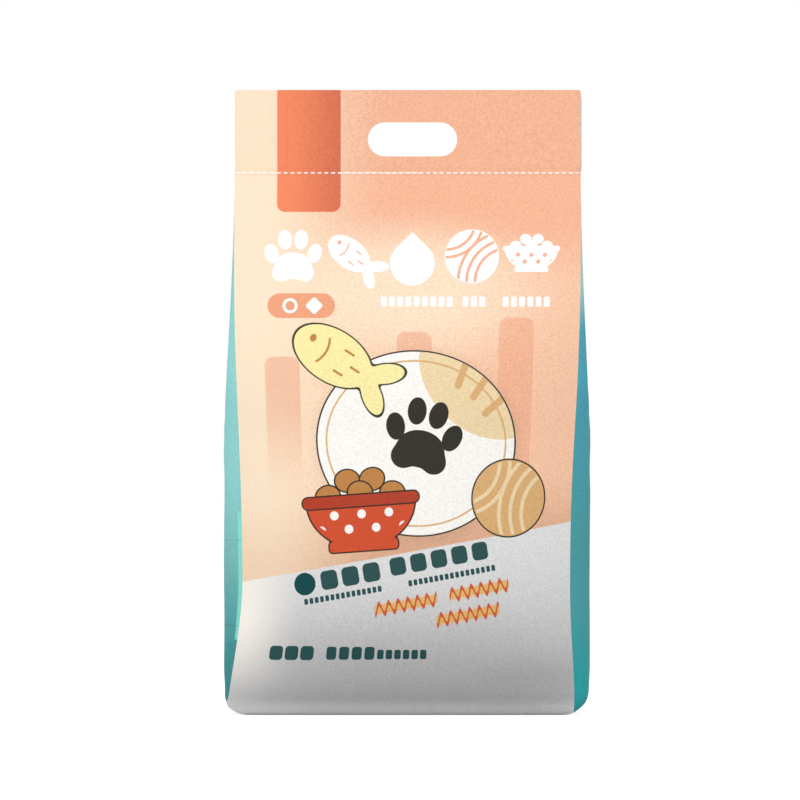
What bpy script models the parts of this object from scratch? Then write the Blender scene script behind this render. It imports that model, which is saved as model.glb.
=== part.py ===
"""A full litter bag with side gussets, standing on its foot.

The bag is one folded and sealed tube of printed film. Its header is pressed flat and has a hand slot, and
under the seal the two side gussets open from a deep tuck into a full side. The front faces -Y and the
floor is at Z = 0.
"""

import math

import bmesh
import bpy

# Driving dimensions, in metres
BAG_HEIGHT = 0.530
PANEL_WIDTH = 0.294
GUSSET_WIDTH = 0.088
HEADER_HEIGHT = 0.070
HEADER_THICKNESS = 0.0018

# The full body
BELLY_DEPTH = 0.035
BELLY_HEIGHT = 0.115
CREASE_DRAW_IN = 0.008
GUSSET_FLARE = 0.0085
FLARE_HEIGHT = 0.240
SHOULDER_DROP = 0.170
POP_DROP = 0.055
FOOT_SHIFT = 0.005

# The foot, where the film turns under
FOOT_RADIUS = 0.020
FOOT_TURN_UNDER = 0.013
FOOT_TUCK_DEPTH = 0.006
FOOT_TUCK_HEIGHT = 0.042
FOOT_FIN_WIDTH = 0.012
FOOT_FIN_GROOVE = 0.0007
FIN_GROOVE_SPREAD = 2.0

# The hand slot, a stadium cut through the header
SLOT_WIDTH = 0.076
SLOT_HEIGHT = 0.029
SLOT_DROP = 0.042
SLOT_OFFSET = 0.004
CUTTER_REACH = 4.0

# The marks that pressing and sealing leave in the film
PLY_STEP = 0.0003
SEAL_GROOVE_DEPTH = 0.0003
SEAL_GROOVE_WIDTH = 0.002
STEP_RUN = 0.001
SEAM_WIDTH = 0.012
SEAM_STEP = 0.0005

# The printed fields
FOOT_FIELD_HEIGHT = 0.137
FOOT_FIELD_ANGLE = math.radians(10.5)
TAB_WIDTH = 0.0545
TAB_HEIGHT = 0.104
TAB_INSET = 0.0355

# How fine the mesh is
PANEL_COLUMNS = 26
GUSSET_COLUMNS = 8
BODY_ROWS = 36
FOOT_ROWS = 5
HEADER_ROWS = 7
SLOT_ARC_STEPS = 14
LEAST_COLUMN_GAP = 0.002
LEAST_ROW_GAP = 0.003

# Shape exponents: how square the belly is across, how slack it is towards the seal, and so on
BELLY_SQUARENESS = 2.6
BELLY_SLACKNESS = 1.8
FLARE_POWER = 1.6
RIDGE_ROUNDNESS = 2.0
VALLEY_SHARPNESS = 1.3
VALLEY_SHARE = 0.85
LIP_CREST = 0.72
VALLEY_REACH = 0.5

SEAL_HEIGHT = BAG_HEIGHT - HEADER_HEIGHT
SHOULDER_HEIGHT = SEAL_HEIGHT - SHOULDER_DROP
HALF_WIDTH = PANEL_WIDTH / 2
HALF_GUSSET = GUSSET_WIDTH / 2
HALF_HEADER = HEADER_THICKNESS / 2

PEACH = (0.93, 0.55, 0.36)
STONE = (0.60, 0.59, 0.57)
TEAL = (0.13, 0.42, 0.42)
ORANGE = (0.86, 0.25, 0.12)
FIELDS = ("peach_field", "stone_field", "teal_gusset", "orange_tab")
PEACH_FIELD, STONE_FIELD, TEAL_GUSSET, ORANGE_TAB = range(4)

FRONT, BACK = -1, 1
LEFT, RIGHT = -1, 1


def clamp(value):
    """The value, kept between 0 and 1."""
    return max(0.0, min(1.0, value))


def ease(value):
    """A smooth step from 0 to 1."""
    value = clamp(value)
    return value * value * (3 - 2 * value)


def belly_at(z):
    """How far the middle of a panel stands out beyond its creases."""
    if z < BELLY_HEIGHT:
        return BELLY_DEPTH * (1 - ((BELLY_HEIGHT - z) / BELLY_HEIGHT) ** 2)
    rise = clamp((z - BELLY_HEIGHT) / (SEAL_HEIGHT - BELLY_HEIGHT))
    return BELLY_DEPTH * (1 - rise**2) ** BELLY_SLACKNESS


def crease_at(z):
    """Half the distance between a panel's two creases. A panel that bellies out draws them in."""
    return HALF_WIDTH - CREASE_DRAW_IN * (belly_at(z) / BELLY_DEPTH) ** 2


def outline_at(z):
    """Half the width of the whole bag, at the outermost line of its gussets."""
    flare = clamp((SEAL_HEIGHT - z) / (SEAL_HEIGHT - FLARE_HEIGHT))
    return HALF_WIDTH + GUSSET_FLARE * flare**FLARE_POWER


def popped_at(z):
    """0 where the gusset's middle is still tucked in, and 1 where the litter has pushed it out."""
    return ease((SHOULDER_HEIGHT - z) / POP_DROP)


def half_depth_at(z):
    """Half the distance between the front and back creases, with the gusset's own length kept."""
    opened = clamp((SEAL_HEIGHT - z) / SHOULDER_DROP)
    pushed_out = popped_at(z) * min(outline_at(z) - crease_at(z), HALF_GUSSET / 2)
    return math.sqrt((HALF_GUSSET * math.sin(opened * math.pi / 2)) ** 2 - pushed_out**2)


def shift_at(z, side):
    """The front panel's foot has crept a little to the left."""
    if side == BACK or z > BELLY_HEIGHT:
        return 0.0
    return -FOOT_SHIFT * (1 - z / BELLY_HEIGHT) ** 1.5


def level_tilt(level):
    """How much of the foot field's slope a row of the mesh follows: all of it at the field's edge."""
    if level < FOOT_FIELD_HEIGHT:
        return clamp((level - FOOT_RADIUS) / (FOOT_FIELD_HEIGHT - FOOT_RADIUS))
    return clamp(2 - level / FOOT_FIELD_HEIGHT)


def height_of(level, x):
    """The height of a row of the mesh, over a place across the bag."""
    return level + level_tilt(level) * x * math.tan(FOOT_FIELD_ANGLE)


def turned_under(x, y, z):
    """The point, drawn in where the film turns under at the foot."""
    if z < FOOT_RADIUS:
        drop = 1 - z / FOOT_RADIUS
        turn = 1 - math.sqrt(1 - drop * drop)
        deepest = half_depth_at(z) + HALF_HEADER + belly_at(z)
        x *= 1 - turn * FOOT_RADIUS / outline_at(z)
        y *= 1 - turn * FOOT_TURN_UNDER / deepest
    return x, y, z


def pressed_in(x, z, side):
    """How far the pressed header's face lies under the plane of its four plies."""
    depth = 0.0
    if z >= SEAL_HEIGHT:
        past_tuck = (HALF_WIDTH - HALF_GUSSET - abs(x)) / STEP_RUN
        depth += PLY_STEP * clamp(past_tuck)
        half_groove = SEAL_GROOVE_WIDTH / 2
        depth += SEAL_GROOVE_DEPTH * clamp(1 - abs(z - SEAL_HEIGHT - half_groove) / half_groove)
    if side == BACK:
        depth -= SEAM_STEP * clamp((SEAM_WIDTH / 2 + STEP_RUN - abs(x)) / STEP_RUN)
    return depth


def panel_point(across, level, side):
    """A point of the front or back panel, with across from -1 at its left crease to 1 at its right."""
    z = height_of(level, across * HALF_WIDTH)
    x = across * crease_at(z)
    y = half_depth_at(z) + HALF_HEADER + belly_at(z) * (1 - abs(across) ** BELLY_SQUARENESS)
    y -= pressed_in(x, z, side)
    return turned_under(x + shift_at(z, side), side * y, z)


def gusset_reach(along, z):
    """How far a gusset stands out beyond its creases, with along 0 at its middle and 1 at a crease."""
    room = outline_at(z) - crease_at(z)
    popped = popped_at(z)
    settled = clamp((SEAL_HEIGHT - z) / SHOULDER_DROP)
    crest = LIP_CREST * (1 - popped)
    if along >= crest:
        swell = 1 - ((along - crest) / (1 - crest)) ** RIDGE_ROUNDNESS
    else:
        swell = 1 - (1 - popped) * (1 - along / crest) ** RIDGE_ROUNDNESS
    valley_width = 1 - (1 - VALLEY_REACH) * ease(settled * 2)
    tucked_in = VALLEY_SHARE * HALF_GUSSET * math.cos(settled * math.pi / 2)
    valley = tucked_in * clamp(1 - along / valley_width) ** VALLEY_SHARPNESS
    foot_tuck = FOOT_TUCK_DEPTH * clamp(1 - z / FOOT_TUCK_HEIGHT) ** 2 * clamp(1 - along / VALLEY_REACH)
    return room * swell - valley - foot_tuck


def gusset_point(along, level, hand):
    """A point of a side gusset, with along from -1 at its front crease to 1 at its back crease."""
    z = height_of(level, hand * HALF_WIDTH)
    lean = shift_at(z, FRONT) * (1 - along) / 2
    x = hand * (crease_at(z) + gusset_reach(abs(along), z)) + lean * abs(along)
    return turned_under(x, along * half_depth_at(z), z)


def spread(low, high, count):
    """Evenly spaced values from low to high."""
    return [low + (high - low) * i / count for i in range(count + 1)]


def with_named(values, named, gap):
    """The values in order, with the named ones in place of any that lie too near them."""
    ends = (values[0], values[-1])
    kept = [v for v in values if v in ends or all(abs(v - n) > gap * 4 for n in named)]
    merged = []
    for value in sorted(kept + [n for n in named if ends[0] + gap < n < ends[1] - gap]):
        if not merged or value - merged[-1] > gap / 4:
            merged.append(value)
    return merged


def panel_fractions():
    """Where the columns of a panel stand, from -1 to 1, with one on each pressed or printed edge."""
    tuck = HALF_WIDTH - HALF_GUSSET
    seam = SEAM_WIDTH / 2
    tab_left = TAB_INSET - HALF_WIDTH
    edges = [tuck, tuck - STEP_RUN, seam, seam + STEP_RUN]
    edges = [sign * edge for sign in (LEFT, RIGHT) for edge in edges]
    edges += [tab_left, tab_left + TAB_WIDTH]
    named = [edge / HALF_WIDTH for edge in edges]
    return with_named(spread(-1, 1, PANEL_COLUMNS), named, LEAST_COLUMN_GAP)


def body_levels():
    """The rows of the mesh below the seal, from the floor up, without the seal itself."""
    turns = spread(0, math.pi / 2, FOOT_ROWS)
    foot = [FOOT_RADIUS * (1 - math.cos(turn)) for turn in turns[:-1]]
    body = spread(FOOT_RADIUS, SEAL_HEIGHT, BODY_ROWS)
    tab_foot = BAG_HEIGHT - TAB_HEIGHT
    named = [FOOT_FIELD_HEIGHT, tab_foot, SEAL_HEIGHT - LEAST_ROW_GAP]
    return foot + with_named(body, named, LEAST_ROW_GAP / 2)[:-1]


def header_levels():
    """The rows of the mesh from the seal to the top edge."""
    groove = [SEAL_HEIGHT, SEAL_HEIGHT + SEAL_GROOVE_WIDTH / 2]
    return groove + spread(SEAL_HEIGHT + SEAL_GROOVE_WIDTH, BAG_HEIGHT, HEADER_ROWS)


class FilmMesh:
    """The folded tube of film, built row by row as one closed surface."""

    def __init__(self):
        self.mesh = bmesh.new()
        self.across = panel_fractions()
        self.along = spread(-1, 1, 2 * GUSSET_COLUMNS)

    def panel_row(self, level, side):
        """The vertices of one row of a panel, from left to right."""
        return [self.mesh.verts.new(panel_point(a, level, side)) for a in self.across]

    def open_gusset_row(self, level, hand):
        """One row of an open gusset, from front to back."""
        return [self.mesh.verts.new(gusset_point(a, level, hand)) for a in self.along]

    def shut_gusset_row(self, hand):
        """The row at the seal, where the gusset's two halves meet in one line."""
        half = [gusset_point(a, SEAL_HEIGHT, hand) for a in self.along[: GUSSET_COLUMNS + 1]]
        shut = [self.mesh.verts.new((x, 0.0, SEAL_HEIGHT)) for x, _, _ in half]
        return shut + shut[-2::-1]

    def ring(self, level, right, left):
        """One closed row of vertices, counter-clockwise seen from above."""
        front = self.panel_row(level, FRONT)
        back = self.panel_row(level, BACK)
        return front + right + back[::-1] + left[::-1]

    def kinds(self):
        """What each face of a ring is part of: its field for the body, and whether it can hold the tab."""
        tab_left = (TAB_INSET - HALF_WIDTH) / HALF_WIDTH
        tab_right = tab_left + TAB_WIDTH / HALF_WIDTH
        middles = [(a + b) / 2 for a, b in zip(self.across, self.across[1:])]
        front = ["tab" if tab_left < m < tab_right else "panel" for m in middles]
        gusset = ["gusset"] * (len(self.along) + 1)
        return front + gusset + ["panel"] * len(middles) + gusset

    def join(self, lower, upper, kinds, level):
        """Faces between two rings, with the field that is printed at that level."""
        for i, kind in enumerate(kinds):
            j = (i + 1) % len(lower)
            corners = [lower[i], lower[j], upper[j], upper[i]]
            face = self.mesh.faces.new(dict.fromkeys(corners))
            face.smooth = True
            if kind == "gusset":
                face.material_index = TEAL_GUSSET
            elif kind == "tab" and level >= BAG_HEIGHT - TAB_HEIGHT - LEAST_ROW_GAP / 4:
                face.material_index = ORANGE_TAB
            elif level < FOOT_FIELD_HEIGHT - LEAST_ROW_GAP / 4:
                face.material_index = STONE_FIELD

    def build(self):
        """The whole film: foot, body, seal, header and top edge."""
        kinds = self.kinds()
        levels = body_levels()
        rings = []
        for level in levels:
            right = self.open_gusset_row(level, RIGHT)
            rings.append(self.ring(level, right, self.open_gusset_row(level, LEFT)))
        seal = self.ring(SEAL_HEIGHT, self.shut_gusset_row(RIGHT), self.shut_gusset_row(LEFT))
        rings.append(seal)
        foot = self.mesh.faces.new(reversed(rings[0]))
        foot.material_index = STONE_FIELD
        for lower, upper, level in zip(rings, rings[1:], levels):
            self.join(lower, upper, kinds, level)
        self.build_header(seal)
        return self.mesh

    def build_header(self, seal):
        """The flat header over the seal, where a gusset shows only as the edge of its plies."""
        columns = len(self.across)
        middle = columns + len(self.along)
        lower = seal[: columns + 1] + seal[middle : middle + columns + 1]
        kinds = self.kinds()
        panel = kinds[: columns - 1]
        kinds = panel + ["gusset"] * 2 + ["panel"] * len(panel) + ["gusset"] * 2
        levels = header_levels()
        for level, below in zip(levels[1:], levels):
            right = [self.mesh.verts.new((crease_at(level), 0.0, level))]
            left = [self.mesh.verts.new((-crease_at(level), 0.0, level))]
            upper = self.ring(level, right, left)
            self.join(lower, upper, kinds, below)
            lower = upper
        top = self.mesh.faces.new(lower)
        top.material_index = PEACH_FIELD


def stadium_cutter():
    """A bar with round ends, to cut the hand slot through the header."""
    radius = SLOT_HEIGHT / 2
    reach = max(SLOT_WIDTH / 2 - radius, 0.0)
    centre_z = BAG_HEIGHT - SLOT_DROP
    outline = []
    for hand in (RIGHT, LEFT):
        for turn in spread(-math.pi / 2, math.pi / 2, SLOT_ARC_STEPS):
            x = SLOT_OFFSET + hand * (reach + radius * math.cos(turn))
            outline.append((x, centre_z + hand * radius * math.sin(turn)))
    return bar_cutter("slot_cutter", outline, HEADER_THICKNESS * CUTTER_REACH)


def bar_cutter(name, outline, half_length):
    """A closed bar along Y through an outline in X and Z, given counter-clockwise from the front."""
    mesh = bmesh.new()
    near = [mesh.verts.new((x, -half_length, z)) for x, z in outline]
    cap = mesh.faces.new(near)
    bar = bmesh.ops.extrude_face_region(mesh, geom=[cap])
    far = [v for v in bar["geom"] if isinstance(v, bmesh.types.BMVert)]
    bmesh.ops.translate(mesh, vec=(0, 2 * half_length, 0), verts=far)
    bmesh.ops.recalc_face_normals(mesh, faces=mesh.faces)
    return cutter_object(name, mesh)


def fin_groove_cutter(name, y):
    """A long roof-shaped bar that scores one line of the foot's folded seal fin."""
    mesh = bmesh.new()
    half_width = FOOT_FIN_GROOVE * FIN_GROOVE_SPREAD
    reach = outline_at(0) + FOOT_RADIUS
    base = -FOOT_FIN_GROOVE
    corners = ((y - half_width, base), (y + half_width, base), (y, FOOT_FIN_GROOVE))
    ends = []
    for x in (-reach, reach):
        ends.append([mesh.verts.new((x, across, z)) for across, z in corners])
    mesh.faces.new(ends[0])
    mesh.faces.new(ends[1])
    for i in range(3):
        j = (i + 1) % 3
        mesh.faces.new((ends[0][i], ends[0][j], ends[1][j], ends[1][i]))
    bmesh.ops.recalc_face_normals(mesh, faces=mesh.faces)
    return cutter_object(name, mesh)


def cutter_object(name, mesh):
    """A helper that is seen as wires and never rendered."""
    data = bpy.data.meshes.new(name)
    mesh.to_mesh(data)
    mesh.free()
    cutter = bpy.data.objects.new(name, data)
    cutter.hide_render = True
    cutter.display_type = "WIRE"
    bpy.context.scene.collection.objects.link(cutter)
    return cutter


def film_material(name, colour):
    """Matt laminated film in one printed colour."""
    material = bpy.data.materials.new(name)
    material.use_nodes = True
    material.diffuse_color = (*colour, 1)
    shader = material.node_tree.nodes["Principled BSDF"]
    shader.inputs["Base Color"].default_value = (*colour, 1)
    shader.inputs["Roughness"].default_value = 0.5
    shader.inputs["Metallic"].default_value = 0.0
    return material


def cut(target, cutter):
    """Takes the cutter's shape out of the target."""
    modifier = target.modifiers.new(cutter.name, "BOOLEAN")
    modifier.operation = "DIFFERENCE"
    modifier.solver = "EXACT"
    modifier.object = cutter


def litter_bag():
    """The bag, with its slot and the two scored lines under its foot."""
    film = FilmMesh().build()
    data = bpy.data.meshes.new("litter_bag")
    film.to_mesh(data)
    film.free()
    for name, colour in zip(FIELDS, (PEACH, STONE, TEAL, ORANGE)):
        data.materials.append(film_material(name, colour))
    bag = bpy.data.objects.new("litter_bag", data)
    bpy.context.scene.collection.objects.link(bag)
    cut(bag, stadium_cutter())
    cut(bag, fin_groove_cutter("fin_root_cutter", 0.0))
    cut(bag, fin_groove_cutter("fin_edge_cutter", FOOT_FIN_WIDTH))
    return bag


def clear_scene():
    """Removes what the scene holds."""
    for item in list(bpy.data.objects):
        bpy.data.objects.remove(item)


clear_scene()
litter_bag()
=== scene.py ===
"""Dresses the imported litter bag: its printed film, the studio that lights it and the camera.

The shell is modelled in metres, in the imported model's frame: the front faces -Y and the floor is at Z = 0.
The print is laid out in film millimetres: across from the middle of a panel, and up from the floor.
"""

from __future__ import annotations

import logging
import math
from dataclasses import dataclass, field
from enum import Enum
from typing import Any, ClassVar, Protocol

import bmesh
import bpy
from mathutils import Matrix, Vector, noise


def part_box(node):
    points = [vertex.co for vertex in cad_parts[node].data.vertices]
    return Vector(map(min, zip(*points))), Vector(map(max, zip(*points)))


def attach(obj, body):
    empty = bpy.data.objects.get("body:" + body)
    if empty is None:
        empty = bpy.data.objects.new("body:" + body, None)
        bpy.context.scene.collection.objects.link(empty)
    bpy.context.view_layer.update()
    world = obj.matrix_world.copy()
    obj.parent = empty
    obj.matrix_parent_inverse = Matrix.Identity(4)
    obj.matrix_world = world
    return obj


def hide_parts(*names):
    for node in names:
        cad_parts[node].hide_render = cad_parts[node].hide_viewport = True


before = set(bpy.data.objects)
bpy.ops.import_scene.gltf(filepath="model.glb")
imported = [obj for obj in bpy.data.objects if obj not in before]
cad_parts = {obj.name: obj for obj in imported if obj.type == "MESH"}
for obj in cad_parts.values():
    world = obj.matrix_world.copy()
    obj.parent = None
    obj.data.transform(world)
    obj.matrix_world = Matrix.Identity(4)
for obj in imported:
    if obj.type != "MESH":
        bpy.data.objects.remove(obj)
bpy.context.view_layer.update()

log = logging.getLogger("litter_bag")

NODE_NAME = "litter_bag"
FILM_MAP = "film_mm"
MM = 0.001
WELD_GRID = 1e-7

Pair = tuple[float, float]
Socket = bpy.types.NodeSocket
Colour = Socket | tuple[float, ...]

# Where a colour Mix node keeps its sockets
MIX_FACTOR, MIX_UNDER, MIX_OVER, MIX_RESULT = 0, 6, 7, 2
# The rays that show a surface, and not only carry its light
SHOWING_RAYS = ("Is Camera Ray", "Is Glossy Ray", "Is Transmission Ray")
# Half the width of a printed edge, in film millimetres
PRINT_EDGE = 0.25


class Ink(Enum):
    """The inks of the print, as sRGB hex, with some that paint light and shade onto it."""

    CREAM = "#FDE6CA"
    PEACH = "#F5B796"
    # Part print, part painted highlight on the shoulder under the header
    PALE_PEACH = "#FBC9A9"
    # Painted shade of the peach towards the foot
    PEACH_PAINTED_SHADE = "#DBA988"
    DEEP_PEACH = "#EFA582"
    STONE = "#E4E4E4"
    # Painted shade of the stone field towards the foot
    STONE_PAINTED_SHADE = "#BABABB"
    # Painted shade at the stone field's foot and lower right
    STONE_PAINTED_FOOT_SHADE = "#A0A0A1"
    # Painted highlight along the stone field's left side
    STONE_PAINTED_HIGHLIGHT = "#F8F2EA"
    TAB_LIGHT = "#F68B61"
    TAB_DEEP = "#D77153"
    PILL = "#F0A57F"
    WHITE = "#FFFFFF"
    MILK = "#FDFAF5"
    BUTTER = "#FBEEA8"
    TAN = "#DDB078"
    FAWN = "#F0D8AC"
    BROWN = "#BF8448"
    RED = "#D2512F"
    DEEP_RED = "#B23F28"
    OUTLINE = "#29281F"
    PINE = "#064343"
    OCHRE = "#E8B45C"
    RUST = "#CE5A34"
    # Painted light: the left gusset's teal, paler as if lit from its side
    AQUA = "#97DBD9"
    # Painted shade of the left gusset at its foot
    AQUA_PAINTED_SHADE = "#15878A"
    TEAL_PALE = "#ACE4E4"
    TEAL = "#52AEC2"
    # The right gusset's deeper teals towards its foot are painted shade; TEAL_DEEP also prints on the back
    TEAL_GREY = "#52A7AC"
    TEAL_DEEP = "#2FA9AD"
    # Painted highlight along the left gusset's front crease
    MINT_PAINTED_HIGHLIGHT = "#92F2E0"
    SHADE = "#7A6A60"
    FILM_CORE = "#F4F1EC"
    PLY_LINE = "#CFC8C0"


class Side(Enum):
    """The two panels of the bag, by the way they face along Y."""

    FRONT = -1
    BACK = 1


class Hand(Enum):
    """The two gussets of the bag, by the way they face along X."""

    LEFT = -1
    RIGHT = 1


class Part(Enum):
    """The parts of the shell, numbered as its material slots."""

    FRONT_PANEL = 0
    BACK_PANEL = 1
    LEFT_GUSSET = 2
    RIGHT_GUSSET = 3
    FOOT = 4
    CUT_EDGE = 5


GUSSET_PARTS = {Hand.LEFT: Part.LEFT_GUSSET, Hand.RIGHT: Part.RIGHT_GUSSET}
# Folding rubs the varnish of the gussets duller than that of the panels
GUSSET_VARNISH = {"roughness": 0.6, "specular_level": 0.06}


def clamp(value: float) -> float:
    """The value, kept between 0 and 1."""
    return max(0.0, min(1.0, value))


def ease(value: float) -> float:
    """A smooth step from 0 to 1."""
    value = clamp(value)
    return value * value * (3 - 2 * value)


def spread(low: float, high: float, count: int) -> list[float]:
    """Evenly spaced values from low to high, in count steps."""
    return [low + (high - low) * i / count for i in range(count + 1)]


def linear(hex_code: str) -> tuple[float, float, float, float]:
    """Turns an sRGB hex colour to linear.

    Args:
        hex_code: The colour as "#RRGGBB".

    Returns:
        Linear red, green and blue, with an alpha of 1.
    """
    channels = [int(hex_code[i : i + 2], 16) / 255 for i in (1, 3, 5)]
    red, green, blue = [c / 12.92 if c <= 0.04045 else ((c + 0.055) / 1.055) ** 2.4 for c in channels]
    return red, green, blue, 1.0


def add_node(
    tree: bpy.types.NodeTree,
    kind: str,
    inputs: dict[Any, Any] | None = None,
    **settings: Any,
) -> bpy.types.Node:
    """Adds a node to a tree, with its settings and links.

    Args:
        tree: The node tree.
        kind: The node's type, without its leading "ShaderNode".
        inputs: For each input, by name or number, a socket to link or a value to set.
        settings: The node's own properties.

    Returns:
        The new node.
    """
    node = tree.nodes.new("ShaderNode" + kind)
    for name, value in settings.items():
        setattr(node, name, value)
    for key, value in (inputs or {}).items():
        if isinstance(value, Socket):
            tree.links.new(value, node.inputs[key])
        else:
            node.inputs[key].default_value = value
    return node


def new_material(name: str) -> tuple[bpy.types.Material, bpy.types.NodeTree]:
    """Makes a material with an empty node tree.

    Args:
        name: The material's name.

    Returns:
        The material and its tree.
    """
    material = bpy.data.materials.new(name)
    material.use_nodes = True
    material.node_tree.nodes.clear()
    return material, material.node_tree


def to_scene(name: str, mesh: bmesh.types.BMesh) -> bpy.types.Object:
    """Turns a finished mesh to an object in the scene.

    Args:
        name: The name of the object and its mesh.
        mesh: The mesh, which is freed.

    Returns:
        The object.
    """
    data = bpy.data.meshes.new(name)
    mesh.to_mesh(data)
    mesh.free()
    item = bpy.data.objects.new(name, data)
    bpy.context.scene.collection.objects.link(item)
    return item


def seen_from(
    tree: bpy.types.NodeTree,
    place: Socket,
    at: Pair,
    turn: float = 0.0,
    scale: Pair = (1.0, 1.0),
) -> Socket:
    """Turns a place on the film to one seen from a point on it.

    It uses vector maths alone. The renderer would hold every Mapping node's result until the whole print is
    done, and it has no room for so many.

    Args:
        tree: The node tree.
        place: The place, as a vector in millimetres.
        at: The point that becomes the middle.
        turn: The slope of the new axes in degrees.
        scale: The new axes' units in millimetres.

    Returns:
        The place in the new axes.
    """
    offset = add_node(tree, "VectorMath", {0: place, 1: (*at, 0)}, operation="SUBTRACT").outputs[0]
    if turn == 0.0 and scale == (1.0, 1.0):
        return offset
    if turn == 0.0:
        return add_node(tree, "VectorMath", {0: offset, 1: (*scale, 1)}, operation="DIVIDE").outputs[0]
    angle = math.radians(turn)
    across = (math.cos(angle) / scale[0], math.sin(angle) / scale[0], 0)
    up = (-math.sin(angle) / scale[1], math.cos(angle) / scale[1], 0)
    axes = {}
    for i, way in enumerate((across, up)):
        axes[i] = add_node(tree, "VectorMath", {0: offset, 1: way}, operation="DOT_PRODUCT").outputs["Value"]
    return add_node(tree, "CombineXYZ", axes).outputs[0]


@dataclass(frozen=True)
class BagForm:
    """The filled bag's shape in metres, as it runs over the bag's height.

    The panels belly out and draw their creases in. The gussets open from a flat tuck at the seal, through a
    valley between two lips, to a round side.
    """

    height: float
    half_outline: float
    panel_width: float = 0.294
    gusset_width: float = 0.088
    header_height: float = 0.070
    header_thickness: float = 0.0018
    belly_depth: float = 0.035
    belly_height: float = 0.115
    belly_squareness: float = 2.6
    belly_slackness: float = 1.8
    crease_draw_in: float = 0.008
    flare_height: float = 0.240
    flare_power: float = 1.6
    shoulder_drop: float = 0.170
    pop_drop: float = 0.055
    foot_shift: float = 0.005
    corner_creep: float = 0.0022
    right_pull: float = 0.0013
    pull_height: float = 0.300
    pull_run: float = 0.120
    foot_radius: float = 0.020
    left_corner: Pair = (0.0235, 0.0175)
    right_corner: Pair = (0.0265, 0.020)
    foot_turn_under: float = 0.013
    foot_tuck_depth: float = 0.006
    foot_tuck_height: float = 0.042
    fin_width: float = 0.012
    fin_groove: float = 0.0007
    lip_crest: float = 0.72
    valley_reach: float = 0.5
    valley_share: float = 0.85
    valley_sharpness: float = 1.3
    ridge_roundness: float = 2.0
    ply_step: float = 0.0003
    seal_groove_depth: float = 0.0003
    seal_groove_width: float = 0.002
    step_run: float = 0.001
    seam_width: float = 0.012
    seam_step: float = 0.0005
    corner_radius: float = 0.0022
    seal_stiffness: float = 0.014
    header_sway: float = 0.0012
    body_lean: float = 0.0007
    ply_proud: float = 0.0008
    slack_start: float = 0.020
    slack_run: float = 0.070
    pull_up_run: float = 0.035
    pucker_run: float = 0.060
    fold_depth: float = 0.0006
    fold_line: float = 0.0004
    fold_line_share: float = 0.04
    gusset_slack_start: float = 0.050

    @classmethod
    def from_frame(cls) -> BagForm:
        """The form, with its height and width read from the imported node."""
        low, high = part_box(NODE_NAME)
        return cls(height=high.z, half_outline=(high.x - low.x) / 2)

    @property
    def seal(self) -> float:
        """The height of the seal, where the header starts."""
        return self.height - self.header_height

    @property
    def half_width(self) -> float:
        """Half the flat width of a panel."""
        return self.panel_width / 2

    @property
    def half_gusset(self) -> float:
        """Half the flat width of a gusset."""
        return self.gusset_width / 2

    @property
    def half_header(self) -> float:
        """Half the thickness of the pressed header."""
        return self.header_thickness / 2

    def belly(self, z: float) -> float:
        """How far the middle of a panel stands out beyond its creases.

        Args:
            z: The height.

        Returns:
            The distance in metres.
        """
        if z < self.belly_height:
            return self.belly_depth * (1 - ((self.belly_height - z) / self.belly_height) ** 2)
        rise = clamp((z - self.belly_height) / (self.seal - self.belly_height))
        return self.belly_depth * (1 - rise**2) ** self.belly_slackness

    def crease(self, z: float) -> float:
        """Half the distance between a panel's two creases."""
        return self.half_width - self.crease_draw_in * (self.belly(z) / self.belly_depth) ** 2

    def outline(self, z: float) -> float:
        """Half the width of the whole bag."""
        flare = clamp((self.seal - z) / (self.seal - self.flare_height))
        return self.half_width + (self.half_outline - self.half_width) * flare**self.flare_power

    def popped(self, z: float) -> float:
        """0 where the gusset's middle is still tucked in, and 1 where the litter has pushed it out."""
        return ease((self.seal - self.shoulder_drop - z) / self.pop_drop)

    def opened(self, z: float) -> float:
        """How far the bag has opened under the seal. It starts slowly, since the film is stiff.

        Args:
            z: The height.

        Returns:
            The opening, from 0 to 1.
        """
        drop = max(0.0, self.seal - z) / self.shoulder_drop
        stiffness = self.seal_stiffness / self.shoulder_drop
        return clamp(drop**2 / (drop + stiffness) * (1 + stiffness))

    def half_depth(self, z: float) -> float:
        """Half the distance between the front and back creases.

        Args:
            z: The height.

        Returns:
            The distance in metres.
        """
        opened = self.opened(z)
        room = self.outline(z) - self.crease(z)
        pushed_out = self.popped(z) * min(room, self.half_gusset / 2)
        return math.sqrt((self.half_gusset * math.sin(opened * math.pi / 2)) ** 2 - pushed_out**2)

    def shift(self, z: float, side: Side, across: float) -> float:
        """How far the front panel's foot has crept to the left, with its two creases unevenly pulled.

        Args:
            z: The height.
            side: The panel. The back one keeps its place.
            across: From -1 at the panel's left crease to 1 at its right.

        Returns:
            The shift along X in metres.
        """
        if side is Side.BACK:
            return 0.0
        creep = self.foot_shift * clamp(1 - z / self.belly_height) ** 1.5
        if across < 0:
            creep += self.corner_creep * across**2 * ease((self.foot_radius - z) / (0.8 * self.foot_radius))
        else:
            creep += self.right_pull * across**2 * ease((self.pull_height - z) / self.pull_run)
        return -creep

    def turn(self, z: float, height: float) -> float:
        """How far a quarter of a circle of this height has turned under at the foot, from 0 to 1."""
        drop = clamp(1 - z / height)
        return 1 - math.sqrt(1 - drop * drop)

    def corner(self, z: float, hand: Hand) -> float:
        """How far the bag reaches to one side, where the corners of its foot are rounded."""
        run, height = self.left_corner if hand is Hand.LEFT else self.right_corner
        return self.outline(z) - run * self.turn(z, height)

    def settled(self, x: float, y: float, z: float) -> Vector:
        """Settles a point a little to the left, and turns it under at the foot.

        Args:
            x: The point's place across the bag.
            y: Its place from front to back.
            z: Its height.

        Returns:
            The settled point.
        """
        deepest = self.half_depth(z) + self.half_header + self.belly(z)
        y *= 1 - self.turn(z, self.foot_radius) * self.foot_turn_under / deepest
        x -= self.body_lean * ease((self.seal - z) / self.shoulder_drop)
        return Vector((x, y, z))

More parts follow.
